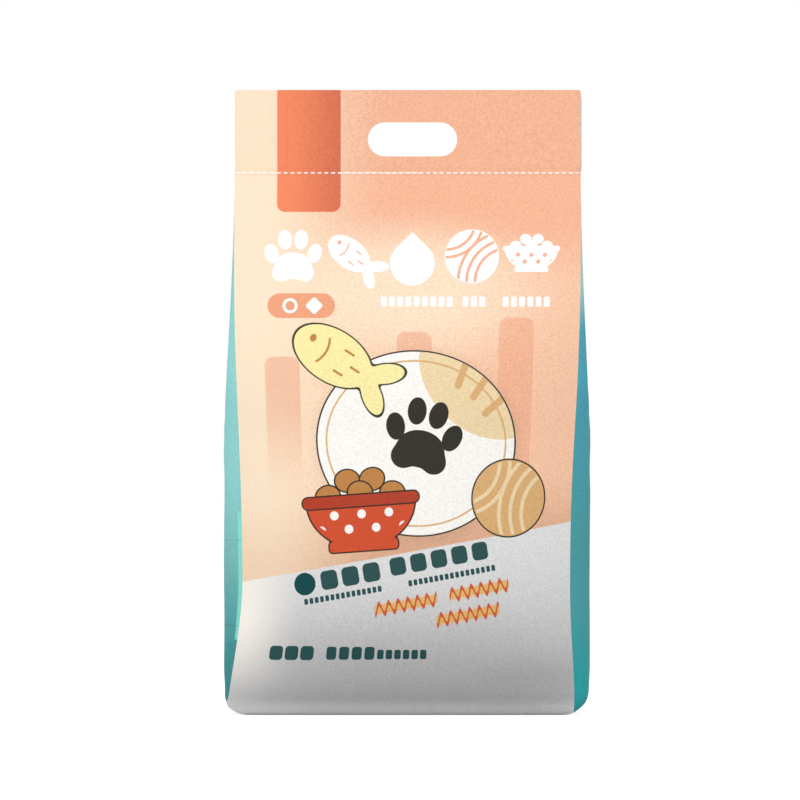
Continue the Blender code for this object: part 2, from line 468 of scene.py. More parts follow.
    def pressed_in(self, x: float, z: float, side: Side) -> float:
        """How far a face lies under the plane of the header's four plies, or over it at the back seam.

        Args:
            x: The distance from the bag's middle.
            z: The height.
            side: The panel.

        Returns:
            The depth in metres, below 0 over the plane.
        """
        depth = 0.0
        if z >= self.seal:
            depth += self.ply_step * clamp((self.half_width - self.half_gusset - abs(x)) / self.step_run)
            middle = self.seal + self.seal_groove_width / 2
            depth += self.seal_groove_depth * clamp(1 - abs(z - middle) * 2 / self.seal_groove_width)
        if side is Side.BACK:
            depth -= self.seam_step * clamp((self.seam_width / 2 + self.step_run - abs(x)) / self.step_run)
        return depth

    def sway(self, x: float, z: float) -> float:
        """How far the flat header leans out of its plane, in one long lazy wave."""
        lift = clamp((z - self.seal) / self.header_height)
        return self.header_sway * lift * noise.noise(Vector((x * 9, 0.7, z * 5)))

    def panel_folds(self, x: float, z: float, side: Side) -> float:
        """Soft dents in a panel: slack under the seal, and pulls up from the foot's corners.

        Args:
            x: The distance from the bag's middle.
            z: The height.
            side: The panel.

        Returns:
            How far the panel stands out there, in metres.
        """
        below = max(0.0, self.seal - z)
        under_seal = clamp(below / self.slack_start) * math.exp(-below / self.slack_run)
        over_foot = math.exp(-z / self.pull_up_run)
        edge = (abs(x) / self.half_width) ** 3
        # Each noise has its longest waves along its folds, and a middle coordinate of its own as a seed
        slack = noise.noise(Vector((x * 22, 3.1 * side.value, z * 5 + abs(x) * 20)))
        pull = noise.noise(Vector((x * 14 + z * 30, 7.7 * side.value, z * 18)))
        soft = noise.noise(Vector((x * 7, 1.3 * side.value, z * 6)))
        folds = slack * under_seal * (0.4 + edge) + 1.5 * pull * over_foot * edge
        return self.fold_depth * (folds + 0.5 * soft)

    def top_at(self, x: float) -> float:
        """The height of the top edge, with its two corners rounded.

        Args:
            x: The distance from the bag's middle.

        Returns:
            The height in metres.
        """
        past = abs(x) - (self.half_width - self.corner_radius)
        if past <= 0:
            return self.height
        return self.height - self.corner_radius + math.sqrt(max(0.0, self.corner_radius**2 - past**2))

    def panel_point(self, across: float, z: float, side: Side) -> Vector:
        """A point of a panel.

        Args:
            across: From -1 at the panel's left crease to 1 at its right.
            z: The height of the row of points. In the header it is drawn down at the corners.
            side: The panel.

        Returns:
            The point, in metres.
        """
        x = across * self.crease(z)
        y = self.half_depth(z) + self.half_header - self.pressed_in(x, z, side)
        y += self.belly(z) * (1 - abs(across) ** self.belly_squareness)
        if z > self.seal:
            lift = (z - self.seal) / self.header_height
            drawn_down = self.seal + lift * (self.top_at(x) - self.seal)
            return Vector((x, side.value * y + self.sway(x, z), drawn_down))
        y += self.panel_folds(x, z, side) * clamp(z / self.foot_radius) * (1 - across**8)
        x += self.shift(z, side, across)
        hand = Hand.LEFT if x < 0 else Hand.RIGHT
        crease = self.crease(z) + hand.value * self.shift(z, side, hand.value)
        x *= min(1.0, self.corner(z, hand) / crease)
        return self.settled(x, side.value * y, z)

    def gusset_reach(self, along: float, z: float, room: float) -> float:
        """How far a gusset stands out beyond its creases.

        Args:
            along: 0 at the gusset's middle and 1 at a crease.
            z: The height of the point.
            room: How far the bag's outline lies beyond the creases.

        Returns:
            The reach in metres, below 0 where the gusset is tucked in.
        """
        popped = self.popped(z)
        settled = clamp((self.seal - z) / self.shoulder_drop)
        crest = self.lip_crest * (1 - popped)
        low_down = clamp(1 - z / self.foot_tuck_height) ** 2
        if along >= crest:
            swell = 1 - ((along - crest) / (1 - crest)) ** (self.ridge_roundness + 2 * low_down)
        else:
            swell = 1 - (1 - popped) * (1 - along / crest) ** self.ridge_roundness
        valley_width = 1 - (1 - self.valley_reach) * ease(settled * 2)
        tucked_in = self.valley_share * self.half_gusset * math.cos(settled * math.pi / 2)
        valley = tucked_in * clamp(1 - along / valley_width) ** self.valley_sharpness
        foot_tuck = self.foot_tuck_depth * low_down * clamp(1 - along / self.valley_reach)
        return room * swell - valley - foot_tuck

    def gusset_folds(self, along: float, z: float, hand: Hand) -> float:
        """Fine folds in a gusset: its old middle crease, and puckers where it has popped out.

        Args:
            along: From -1 at the gusset's front crease to 1 at its back crease.
            z: The height.
            hand: The gusset.

        Returns:
            How far the gusset stands out there, in metres.
        """
        line = -self.fold_line * self.popped(z) * math.exp(-((along / self.fold_line_share) ** 2))
        pop_height = self.seal - self.shoulder_drop - self.pop_drop
        near_pop = math.exp(-(((z - pop_height) / self.pucker_run) ** 2))
        pucker = noise.noise(Vector((along * 3.1, 5.3 * hand.value, z * 42 - abs(along) * 3)))
        slack = noise.noise(Vector((along * 1.7, 2.9 * hand.value, z * 13)))
        below_seal = clamp((self.seal - z) / self.gusset_slack_start)
        folds = 1.2 * pucker * near_pop + 0.8 * slack * below_seal
        return line + self.fold_depth * (1 - along**6) * folds

    def gusset_point(self, along: float, z: float, hand: Hand) -> Vector:
        """A point of a gusset.

        Args:
            along: From -1 at the gusset's front crease to 1 at its back crease.
            z: The height of the point.
            hand: The gusset.

        Returns:
            The point, in metres.
        """
        lean = self.shift(z, Side.FRONT, hand.value) * abs(along) * (1 - along) / 2
        corner = self.corner(z, hand)
        crease = min(self.crease(z) + hand.value * lean, corner)
        reach = self.gusset_reach(abs(along), z, corner - crease)
        if z < self.seal:
            reach += self.gusset_folds(along, z, hand) * clamp(z / self.foot_radius)
        return self.settled(hand.value * (crease + reach), along * self.half_depth(z), z)


@dataclass
class Patch:
    """A grid of points on the film, with the film's own millimetres at each of them."""

    part: Part
    points: list[list[Vector]]
    marks: list[list[Pair]]


class ShellMesh:
    """One closed surface, welded from patches that share their borders."""

    def __init__(self) -> None:
        """Starts an empty surface with a map for the film's millimetres."""
        self.mesh = bmesh.new()
        self.film = self.mesh.loops.layers.uv.new(FILM_MAP)
        self.found: dict[tuple[int, ...], bmesh.types.BMVert] = {}

    def vertex(self, point: Vector) -> bmesh.types.BMVert:
        """The vertex at a point, made if there is none yet.

        Args:
            point: The point in metres.

        Returns:
            The vertex.
        """
        key = tuple(round(c / WELD_GRID) for c in point)
        if key not in self.found:
            self.found[key] = self.mesh.verts.new(point)
        return self.found[key]

    def add(self, patch: Patch) -> None:
        """Adds a patch's faces, leaving out those that have shut to a line.

        Args:
            patch: The patch, whose borders have the same points as its neighbours'.
        """
        rows = [[self.vertex(p) for p in row] for row in patch.points]
        for i in range(len(rows) - 1):
            for j in range(len(rows[i]) - 1):
                places = [(i, j), (i, j + 1), (i + 1, j + 1), (i + 1, j)]
                corners = {rows[a][b]: patch.marks[a][b] for a, b in places}
                if len(corners) < 3:
                    continue
                face = self.mesh.faces.new(corners)
                face.smooth = True
                face.material_index = patch.part.value
                for loop in face.loops:
                    loop[self.film].uv = corners[loop.vert]

    def to_object(self, name: str) -> bpy.types.Object:
        """Closes the surface and puts it in the scene."""
        bmesh.ops.recalc_face_normals(self.mesh, faces=self.mesh.faces)
        return to_scene(name, self.mesh)


class Shape(Protocol):
    """An outline on the print, which knows how far a place on the film lies outside it."""

    def distance(self, tree: bpy.types.NodeTree, place: Socket) -> Socket:
        """Measures how far a place is from the outline.

        Args:
            tree: The node tree.
            place: The place on the film, in millimetres.

        Returns:
            The distance in millimetres, below 0 inside.
        """


@dataclass(frozen=True)
class Blob:
    """An ellipse."""

    at: Pair
    size: Pair
    turn: float = 0.0

    def distance(self, tree: bpy.types.NodeTree, place: Socket) -> Socket:
        """Measures in ellipse radii, and turns that to millimetres by the shorter one.

        Args:
            tree: The node tree.
            place: The place on the film, in millimetres.

        Returns:
            The distance in millimetres, below 0 inside.
        """
        across, up = self.size[0] / 2, self.size[1] / 2
        local = seen_from(tree, place, self.at, self.turn, (across, up))
        radii = add_node(tree, "VectorMath", {0: local}, operation="LENGTH").outputs["Value"]
        short = min(across, up)
        return add_node(tree, "Math", {0: radii, 1: short, 2: -short}, operation="MULTIPLY_ADD").outputs[0]


@dataclass(frozen=True)
class Bar:
    """A rounded rectangle, on its own or repeated along its length."""

    at: Pair
    size: Pair
    corner: float = 0.5
    turn: float = 0.0
    pitch: Pair = (0.0, 0.0)
    # Half a pitch that is too long for a second bar to show
    no_repeat: ClassVar[float] = 1e4

    def distance(self, tree: bpy.types.NodeTree, place: Socket) -> Socket:
        """Measures from the rectangle's core, which is smaller by the corner's radius.

        Args:
            tree: The node tree.
            place: The place on the film, in millimetres.

        Returns:
            The distance in millimetres, below 0 inside.
        """
        local = seen_from(tree, place, self.at, self.turn)
        if self.pitch != (0.0, 0.0):
            reach = tuple(p / 2 if p else self.no_repeat for p in self.pitch)
            cell = {0: local, 1: (*reach, 1), 2: (-reach[0], -reach[1], -1)}
            local = add_node(tree, "VectorMath", cell, operation="WRAP").outputs[0]
        core = tuple(s / 2 - self.corner for s in self.size)
        mirrored = add_node(tree, "VectorMath", {0: local}, operation="ABSOLUTE").outputs[0]
        past = add_node(tree, "VectorMath", {0: mirrored, 1: (*core, 0)}, operation="SUBTRACT").outputs[0]
        outside = add_node(tree, "VectorMath", {0: past, 1: (0, 0, 0)}, operation="MAXIMUM").outputs[0]
        away = add_node(tree, "VectorMath", {0: outside}, operation="LENGTH").outputs["Value"]
        return add_node(tree, "Math", {0: away, 1: self.corner}, operation="SUBTRACT").outputs[0]


@dataclass(frozen=True)
class Ring:
    """A round line of even width."""

    at: Pair
    radius: float
    width: float

    def distance(self, tree: bpy.types.NodeTree, place: Socket) -> Socket:
        """Measures from the middle of the line.

        Args:
            tree: The node tree.
            place: The place on the film, in millimetres.

        Returns:
            The distance in millimetres, below 0 inside.
        """
        away = add_node(tree, "VectorMath", {0: place, 1: (*self.at, 0)}, operation="DISTANCE")
        off = {0: away.outputs["Value"], 1: self.radius}
        off = add_node(tree, "Math", off, operation="SUBTRACT").outputs[0]
        off = add_node(tree, "Math", {0: off}, operation="ABSOLUTE").outputs[0]
        return add_node(tree, "Math", {0: off, 1: self.width / 2}, operation="SUBTRACT").outputs[0]


@dataclass(frozen=True)
class Below:
    """All of the film under a straight edge through a point."""

    at: Pair
    turn: float = 0.0

    def distance(self, tree: bpy.types.NodeTree, place: Socket) -> Socket:
        """Measures square to the edge.

        Args:
            tree: The node tree.
            place: The place on the film, in millimetres.

        Returns:
            The distance in millimetres, below 0 inside.
        """
        angle = math.radians(self.turn)
        normal = (-math.sin(angle), math.cos(angle), 0)
        along = add_node(tree, "VectorMath", {0: place, 1: normal}, operation="DOT_PRODUCT")
        level = self.at[0] * normal[0] + self.at[1] * normal[1]
        return add_node(tree, "Math", {0: along.outputs["Value"], 1: level}, operation="SUBTRACT").outputs[0]


@dataclass(frozen=True)
class Wave:
    """A scribbled line: a sine wave with a round pen."""

    at: Pair
    length: float
    height: float
    pitch: float
    pen: float
    turn: float = 0.0

    def distance(self, tree: bpy.types.NodeTree, place: Socket) -> Socket:
        """Measures up and down from the wave, and stops it at both ends.

        Args:
            tree: The node tree.
            place: The place on the film, in millimetres.

        Returns:
            The distance in millimetres, below 0 inside.
        """
        local = seen_from(tree, place, self.at, self.turn)
        axes = add_node(tree, "SeparateXYZ", {0: local}).outputs
        phase = add_node(tree, "Math", {0: axes["X"], 1: 2 * math.pi / self.pitch}, operation="MULTIPLY")
        swing = add_node(tree, "Math", {0: phase.outputs[0]}, operation="SINE").outputs[0]
        level = {0: swing, 1: -self.height / 2, 2: axes["Y"]}
        off = add_node(tree, "Math", level, operation="MULTIPLY_ADD").outputs[0]
        off = add_node(tree, "Math", {0: off}, operation="ABSOLUTE").outputs[0]
        steepness = math.sqrt(1 + (math.pi * self.height / self.pitch) ** 2 / 2)
        line = {0: off, 1: 1 / steepness, 2: -self.pen / 2}
        line_off = add_node(tree, "Math", line, operation="MULTIPLY_ADD").outputs[0]
        reach = add_node(tree, "Math", {0: axes["X"]}, operation="ABSOLUTE").outputs[0]
        past = add_node(tree, "Math", {0: reach, 1: self.length / 2}, operation="SUBTRACT").outputs[0]
        return add_node(tree, "Math", {0: line_off, 1: past}, operation="MAXIMUM").outputs[0]


@dataclass(frozen=True)
class Joined:
    """Several shapes as one, with soft inner corners if blend is over 0."""

    parts: tuple[Shape, ...]
    blend: float = 0.0
    rule: ClassVar[str] = "SMOOTH_MIN"

    def distance(self, tree: bpy.types.NodeTree, place: Socket) -> Socket:
        """Goes through the parts, and keeps the nearest or, by the rule, the furthest.

        Args:
            tree: The node tree.
            place: The place on the film, in millimetres.

        Returns:
            The distance in millimetres, below 0 inside.
        """
        kept = self.parts[0].distance(tree, place)
        for part in self.parts[1:]:
            inputs = {0: kept, 1: part.distance(tree, place), 2: self.blend}
            kept = add_node(tree, "Math", inputs, operation=self.rule).outputs[0]
        return kept


@dataclass(frozen=True)
class Shared(Joined):
    """What several shapes have in common."""

    rule: ClassVar[str] = "MAXIMUM"


@dataclass(frozen=True)
class Without:
    """A shape with another cut out of it."""

    base: Shape
    hole: Shape

    def distance(self, tree: bpy.types.NodeTree, place: Socket) -> Socket:
        """The base's distance, or the way out of the hole.

        Args:
            tree: The node tree.
            place: The place on the film, in millimetres.

        Returns:
            The distance in millimetres, below 0 inside.
        """
        out = add_node(tree, "Math", {0: self.hole.distance(tree, place), 1: -1}, operation="MULTIPLY")
        inputs = {0: self.base.distance(tree, place), 1: out.outputs[0]}
        return add_node(tree, "Math", inputs, operation="MAXIMUM").outputs[0]


@dataclass(frozen=True)
class Layer:
    """One ink laid inside a shape, with a line around it if outline is over 0.

    With gone_by, it thins out from one place on the film and is gone by another.
    """

    shape: Shape
    ink: Ink
    outline: float = 0.0
    softness: float = PRINT_EDGE
    strength: float = 1.0
    gone_by: tuple[Pair, Pair] | None = None


@dataclass(frozen=True)
class Fade:
    """An ink that comes in from one place on the film to another."""

    ink: Ink
    start: Pair
    end: Pair


@dataclass(frozen=True)
class Motif:
    """A small drawing in millimetres about its own middle."""

    layers: tuple[Layer, ...]


class Press:
    """Lays inks on the film, one over another."""

    def __init__(self, tree: bpy.types.NodeTree, base: Ink) -> None:
        """Starts with a web of film in one ink.

        Args:
            tree: The material's node tree.
            base: The ink.
        """
        self.tree = tree
        self.film = add_node(tree, "UVMap", uv_map=FILM_MAP).outputs[0]
        self.colour: Colour = linear(base.value)

    def lay(self, layer: Layer, place: Socket | None = None) -> None:
        """Lays one layer over what is printed so far.

        Args:
            layer: The layer.
            place: The place on the film as a motif sees it, if the layer is part of one.
        """
        away = layer.shape.distance(self.tree, place or self.film)
        if layer.outline:
            self.cover(away, layer.outline, Layer(layer.shape, Ink.OUTLINE, softness=layer.softness))
        self.cover(away, 0.0, layer)

    def cover(self, away: Socket, reach: float, layer: Layer) -> None:
        """Lays a layer's ink wherever the distance is under reach.

        Args:
            away: The distance from the layer's shape.
            reach: How far the ink runs past the shape.
            layer: The layer.
        """
        inputs = {
            "Value": away,
            "From Min": reach + layer.softness,
            "From Max": reach - layer.softness,
            "To Max": layer.strength,
        }
        amount = add_node(self.tree, "MapRange", inputs, interpolation_type="SMOOTHSTEP").outputs[0]
        if layer.gone_by:
            start, end = layer.gone_by
            left = {0: amount, 1: self.run(end, start)}
            amount = add_node(self.tree, "Math", left, operation="MULTIPLY").outputs[0]
        self.mix(amount, linear(layer.ink.value))

    def mix(self, amount: Socket, over: Colour) -> None:
        """Puts a colour over the print by an amount from 0 to 1."""
        inputs = {MIX_FACTOR: amount, MIX_UNDER: self.colour, MIX_OVER: over}
        self.colour = add_node(self.tree, "Mix", inputs, data_type="RGBA").outputs[MIX_RESULT]

    def run(self, start: Pair, end: Pair) -> Socket:
        """An amount that goes smoothly from 0 at one place to 1 at another.

        Args:
            start: The place where it is 0.
            end: The place where it is 1.

        Returns:
            The amount.
        """
        way = [(b - a) / math.dist(start, end) ** 2 for a, b in zip(start, end)]
        inputs = {0: seen_from(self.tree, self.film, start), 1: (*way, 0)}
        along = add_node(self.tree, "VectorMath", inputs, operation="DOT_PRODUCT").outputs["Value"]
        return add_node(self.tree, "MapRange", {"Value": along}, interpolation_type="SMOOTHSTEP").outputs[0]

    def faded(self, colour: Colour, fades: tuple[Fade, ...]) -> Colour:
        """A colour with other inks faded in over it, one after another.

        Args:
            colour: The colour that they start from.
            fades: The inks, the first one lowest.

        Returns:
            The colour.
        """
        for fade in fades:
            inputs = {
                MIX_FACTOR: self.run(fade.start, fade.end),
                MIX_UNDER: colour,
                MIX_OVER: linear(fade.ink.value),
            }
            colour = add_node(self.tree, "Mix", inputs, data_type="RGBA").outputs[MIX_RESULT]
        return colour

    def flood(self, *fades: Fade) -> None:
        """Fades inks in over the whole print."""
        self.colour = self.faded(self.colour, fades)

    def fill(self, shape: Shape, base: Ink, *fades: Fade) -> None:
        """Fills a shape with an ink that others fade in over.

        Args:
            shape: The shape.
            base: Its lowest ink.
            fades: The inks that fade in over it.
        """
        inks = self.faded(linear(base.value), fades)
        away = shape.distance(self.tree, self.film)
        inputs = {"Value": away, "From Min": PRINT_EDGE, "From Max": -PRINT_EDGE}
        self.mix(add_node(self.tree, "MapRange", inputs).outputs[0], inks)

    def stamp(self, motif: Motif, at: Pair, scale: float, turn: float = 0.0) -> None:
        """Lays all of a motif's layers at a place, a size and an angle.

        Args:
            motif: The motif.
            at: The place of its middle.
            scale: Its size, as a share of the size it is drawn at.
            turn: Its slope in degrees.
        """
        place = seen_from(self.tree, self.film, at, turn, (scale, scale))
        for layer in motif.layers:
            self.lay(layer, place)


def paw(ink: Ink, outline: float = 0.0) -> Motif:
    """A paw print, 98 mm wide.

    Args:
        ink: The ink of the heel and the four toes.
        outline: The width of the line around it in millimetres.

    Returns:
        The motif.
    """
    lobes = (Blob((-20, -29), (32, 30)), Blob((20, -29), (32, 30)))
    heel = Joined((Blob((0, -16), (62, 46)), *lobes), blend=8)
    toes = [
        Blob((hand * across, up), (24, 34), turn=-hand * lean)
        for hand in (-1, 1)
        for across, up, lean in ((37, 5, 18), (14, 29, 6))
    ]
    return Motif(tuple(Layer(shape, ink, outline) for shape in [heel, *toes]))


def fish(ink: Ink, mark: Ink, outline: float = 0.0) -> Motif:
    """A plain fish that swims to the left, 84 mm long.

    Args:
        ink: The ink of the body.
        mark: The ink of the eye, the gill and the scales.
        outline: The width of the line around it in millimetres.

    Returns:
        The motif.
    """
    tail = (Blob((36, 10), (30, 15), turn=38), Blob((36, -10), (30, 15), turn=-38))
    body = Joined((Blob((-6, 0), (66, 40)), *tail), blend=5)
    return Motif(
        (
            Layer(body, ink, outline),
            Layer(Blob((-26, 4), (5, 6)), mark),
            Layer(Shared((Ring((-32, 0), 20, 1.8), Blob((-10, 0), (22, 24)))), mark),
            *(Layer(Bar(at, (9, 1.8), corner=0.9), mark) for at in ((14, 0), (4, 9), (4, -9))),
        )
    )


def bowl(ink: Ink, rim: Ink, dots: Ink, food: Ink, outline: float = 0.0) -> Motif:
    """A food bowl with a heap of biscuits, 108 mm wide.

    Args:
        ink: The ink of the bowl.
        rim: The ink of its rim.
        dots: The ink of its dots.
        food: The ink of the biscuits.
        outline: The width of the line around it in millimetres.

    Returns:
        The motif.
    """
    biscuits = [
        Layer(Blob((across, up), (22, 19), turn=lean), food, outline)
        for across, up, lean in ((-30, 20, 10), (30, 20, -8), (-11, 33, 0), (12, 33, 12), (0, 22, -5))
    ]
    cup = Joined(
        (
            Shared((Blob((0, 14), (100, 82)), Below((0, 16)), Bar((0, 0), (120, 54), corner=4))),
            Bar((0, -25), (64, 9), corner=3),
        ),
        blend=3,
    )
    spots = Shared((Bar((0, 3), (8, 8), corner=4, turn=45, pitch=(18, 18)), Blob((0, 0), (84, 34))))
    return Motif(
        (
            *biscuits,
            Layer(cup, ink, outline),
            Layer(spots, dots),
            Layer(Bar((0, 15), (108, 10), corner=5), rim, outline),
        )
    )


def wool(ink: Ink, strand: Ink, outline: float = 0.0) -> Motif:
    """A ball of wool, 64 mm across.

    Args:
        ink: The ink of the ball.
        strand: The ink of the lines on it.
        outline: The width of the line around it in millimetres.

    Returns:
        The motif.
    """
    ball = Blob((0, 0), (64, 64))
    inside = Blob((0, 0), (62, 62))
    winds = [((44, -30), 40), ((44, -30), 50), ((44, -30), 60), ((-30, 42), 34), ((-30, 42), 43)]
    lines = [Layer(Shared((inside, Ring(at, radius, 3.2))), strand) for at, radius in winds]
    return Motif((Layer(ball, ink, outline), *lines))


def drop(ink: Ink) -> Motif:
    """A drop of water, 48 mm high."""
    tip = Bar((0, 7.4), (19, 19), corner=0.8, turn=45)
    return Motif((Layer(Joined((Blob((0, -6), (38, 38)), tip)), ink),))


def words(at: Pair, letters: int, size: Pair, pitch: float) -> Shape:
    """A word's place on the print, filled by plain blocks at the pitch of its letters.

    Args:
        at: The middle of the word.
        letters: How many blocks stand side by side.
        size: The width and height of a block.
        pitch: The distance from one block to the next.

    Returns:
        The shape of the row of blocks.
    """
    start = 0.0 if letters % 2 else pitch / 2
    blocks = Bar((at[0] + start, at[1]), size, corner=min(size) * 0.28, pitch=(pitch, 0.0))
    return Shared((blocks, Bar(at, (letters * pitch, size[1] + 2), corner=0.2)))


def small_print(at: Pair, columns: int, rows: int) -> Shape:
    """A paragraph's place on the print, filled by rows of plain blocks with gaps between words.

    Args:
        at: The middle of the paragraph.
        columns: How many blocks a row holds, an odd number.
        rows: How many rows there are, an odd number.

    Returns:
        The shape of all the blocks.
    """
    across, up = 4.9, 8.0
    blocks = Bar(at, (3.4, 4.2), corner=1.0, pitch=(across, up))
    paragraph = Shared((blocks, Bar(at, (columns * across, rows * up), corner=0.2)))
    gaps = []
    for column, row in ((2, 0), (-1, 1), (1, 2)):
        gap = (at[0] + column * across, at[1] + row * up)
        gaps.append(Bar(gap, (across, up), corner=0.2, pitch=(6 * across, 3 * up)))
    return Without(paragraph, Joined(tuple(gaps)))


@dataclass(frozen=True)
class MattLaminate:
    """Gravure-printed polyester over polyethylene film, with a matt varnish.

    The varnish spreads the lamps' reflections into a dull sheen, and its fine grain breaks up flat inks.
    """

    name: str
    roughness: float = 0.52
    ior: float = 1.5
    specular_level: float = 0.14
    grain_mm: float = 1.7
    grain_strength: float = 0.38
    calm_share: float = 0.7
    relief_mm: float = 2.4
    relief_depth_mm: float = 0.03

    def finish(self, tree: bpy.types.NodeTree, colour: Colour, calm: Socket | float = 0.0) -> None:
        """Varnishes the print.

        Args:
            tree: The material's tree.
            colour: The printed colour.
            calm: From 0 to 1, how far the grain is hidden by an ink that covers it well.
        """
        place = add_node(tree, "TexCoord").outputs["Object"]
        # The real grain is about 0.1 mm, too fine to show, so it is drawn as coarse as the photo shows it.
        inputs = {"Vector": place, "Scale": 1 / (self.grain_mm * MM), "Detail": 1.0}
        grain = add_node(tree, "TexNoise", inputs)
        strength = {0: calm, 1: -self.calm_share * self.grain_strength, 2: self.grain_strength}
        strength = add_node(tree, "Math", strength, operation="MULTIPLY_ADD").outputs[0]
        swing = add_node(tree, "Math", {0: grain.outputs[0], 1: 0.5}, operation="SUBTRACT").outputs[0]
        level = {0: swing, 1: strength, 2: 1.0}
        speckle = add_node(tree, "Math", level, operation="MULTIPLY_ADD").outputs[0]
        printed = add_node(tree, "VectorMath", {0: colour, "Scale": speckle}, operation="SCALE").outputs[0]
        inputs = {"Vector": place, "Scale": 1 / (self.relief_mm * MM), "Detail": 2.0}
        relief = add_node(tree, "TexNoise", inputs)
        bump = add_node(tree, "Bump", {"Height": relief.outputs[0], "Distance": self.relief_depth_mm * MM})
        shader = add_node(
            tree,
            "BsdfPrincipled",
            {
                "Base Color": printed,
                "Roughness": self.roughness,
                "IOR": self.ior,
                "Specular IOR Level": self.specular_level,
                "Metallic": 0.0,
                "Normal": bump.outputs[0],
            },
        )
        add_node(tree, "OutputMaterial", {0: shader.outputs[0]})


@dataclass(frozen=True)
class PanelPrint:
    """The print of one panel: fields of colour on both, with painted highlight and shade in them, motifs on
    the front and small print on the back.
    """

    side: Side
    laminate: MattLaminate
    width: float = 294.0
    edge_height: float = 138.5
    edge_turn: float = 9.8
    tab: Bar = Bar((-84.0, 492.0), (54.0, 132.0), corner=7)
    tear_height: float = 459.5
    dash: Pair = (3.3, 1.3)
    dash_pitch: float = 5.77
    outline: float = 1.3
    cushion_at: Pair = (8, 230)
    cushion_size: Pair = (172, 154)
    cushion_lean: float = -6.0
    piping_inset: float = 7.0
    piping_width: float = 1.5
    signs_height: float = 388.0
    signs_pitch: float = 50.5
    leaflet_height: float = 262.0
    leaflet_size: Pair = (116, 150)
    leaflet_offset: float = 72.0
    label_at: Pair = (78, 62)
    seam_reach: float = 6.0

    def dress(self) -> bpy.types.Material:
        """Prints the panel and varnishes it.

        Returns:
            The panel's material.
        """
        material, tree = new_material(self.laminate.name)
        press = Press(tree, Ink.PEACH)
        self.fields(press)
        if self.side is Side.FRONT:
            self.columns(press)
            self.picture(press)
            self.foot_field(press)
            self.still_life(press)
            self.title(press)
            self.foot_lines(press)
            press.fill(self.tab, Ink.TAB_LIGHT, Fade(Ink.TAB_DEEP, (-108, 0), (-50, 0)))
        else:
            self.foot_field(press)
            self.leaflet(press)
            self.seam(press)
        self.tear_line(press)
        # The cream along the left side covers the film well, so its grain shows less there
        calm = press.run((-60, 0), (-125, 0))
        self.laminate.finish(tree, press.colour, calm)
        return material

    def fields(self, press: Press) -> None:
        """Peach that pales under the header, with cream along its left side and in a wide glow. The paling
        and the glow are part print and part painted highlight on the shoulder, and the peach deepens towards
        the foot in painted shade.

        Args:
            press: The panel's press.
        """
        press.flood(
            # Paler peach under the header: part print, part painted highlight on the shoulder
            Fade(Ink.PALE_PEACH, (0, 425), (0, 355)),
            # Deeper peach towards the foot: painted shade
            Fade(Ink.PEACH_PAINTED_SHADE, (0, 215), (0, 120)),
            Fade(Ink.CREAM, (-12, 0), (-128, 0)),
        )
        # The wide cream glow: part print, part painted highlight on the shoulder
        press.lay(Layer(Blob((-2, 358), (190, 100)), Ink.CREAM, softness=30, strength=0.85))
        # Deeper peach under 150 mm: more painted shade towards the foot
        press.lay(Layer(Below((0, 150)), Ink.PEACH_PAINTED_SHADE, softness=45, strength=0.36))

    def columns(self, press: Press) -> None:
        """Three plain columns, a little deeper than the field, which thin out downwards.

        Args:
            press: The panel's press.
        """
        height = 220
        for across, top, foot in ((-107, 303, 175), (6, 324, 150), (93, 336, 60)):
            column = Bar((across, top - height / 2), (30, height), corner=8)
            gone_by = ((0, top - 20), (0, foot))
            press.lay(Layer(column, Ink.DEEP_PEACH, softness=0.8, strength=0.55, gone_by=gone_by))

    def picture(self, press: Press) -> None:
        """A round cushion with a paw print on it, and a fish.

        Args:
            press: The panel's press.
        """
        at, size, lean = self.cushion_at, self.cushion_size, self.cushion_lean
        cushion = Blob(at, size, lean)
        shadow = Blob((at[0] + 2, at[1] - 2), (size[0] + 4, size[1] + 6), lean)
        insets = (2 * self.piping_inset, 2 * (self.piping_inset + self.piping_width))
        piping = [Blob(at, (size[0] - inset, size[1] - inset), lean) for inset in insets]
        press.lay(Layer(shadow, Ink.SHADE, softness=9, strength=0.22))
        press.lay(Layer(cushion, Ink.MILK, outline=self.outline))
        press.lay(Layer(Shared((cushion, Blob((70, 290), (128, 104), turn=-38))), Ink.FAWN))
        for stripe, turn in (((48, 290), -20), ((64, 279), -34), ((77, 263), -50)):
            press.lay(Layer(Shared((cushion, Bar(stripe, (6, 30), corner=3, turn=turn))), Ink.TAN))
        press.lay(Layer(Without(*piping), Ink.TAN))
        press.stamp(paw(Ink.OUTLINE), (14, 236), scale=0.68, turn=-12)
        press.stamp(fish(Ink.BUTTER, Ink.BROWN, outline=1.1), (-58, 300), scale=1.1, turn=-32)

    def foot_field(self, press: Press) -> None:
        """A stone grey field under a sloping edge, deepened towards the foot and at its lower right by
        painted shade, paler along its left side by a painted highlight, and paler at its very foot by
        painted bounce light.

        Args:
            press: The panel's press.
        """
        turn = -self.side.value * self.edge_turn
        press.fill(
            Below((0, self.edge_height), turn),
            Ink.STONE,
            # Deeper towards the foot: painted shade
            Fade(Ink.STONE_PAINTED_SHADE, (0, 160), (0, 5)),
            # Paler along the left side: painted highlight
            Fade(Ink.STONE_PAINTED_HIGHLIGHT, (-88, 0), (-146, 0)),
            # Deeper again at the foot: more painted shade
            Fade(Ink.STONE_PAINTED_SHADE, (-4, 95), (0, 0)),
            # Paler at the very foot: painted bounce light from the floor
            Fade(Ink.WHITE, (0, 17), (0, 0)),
        )
        # A soft dark patch at the lower right: painted shade
        press.lay(Layer(Blob((125, 26), (120, 42)), Ink.STONE_PAINTED_FOOT_SHADE, softness=15, strength=0.48))
        # A soft dark band along the foot: painted shade
        press.lay(Layer(Bar((-50, 21), (200, 8), corner=4), Ink.STONE_PAINTED_FOOT_SHADE, softness=16, strength=0.32))

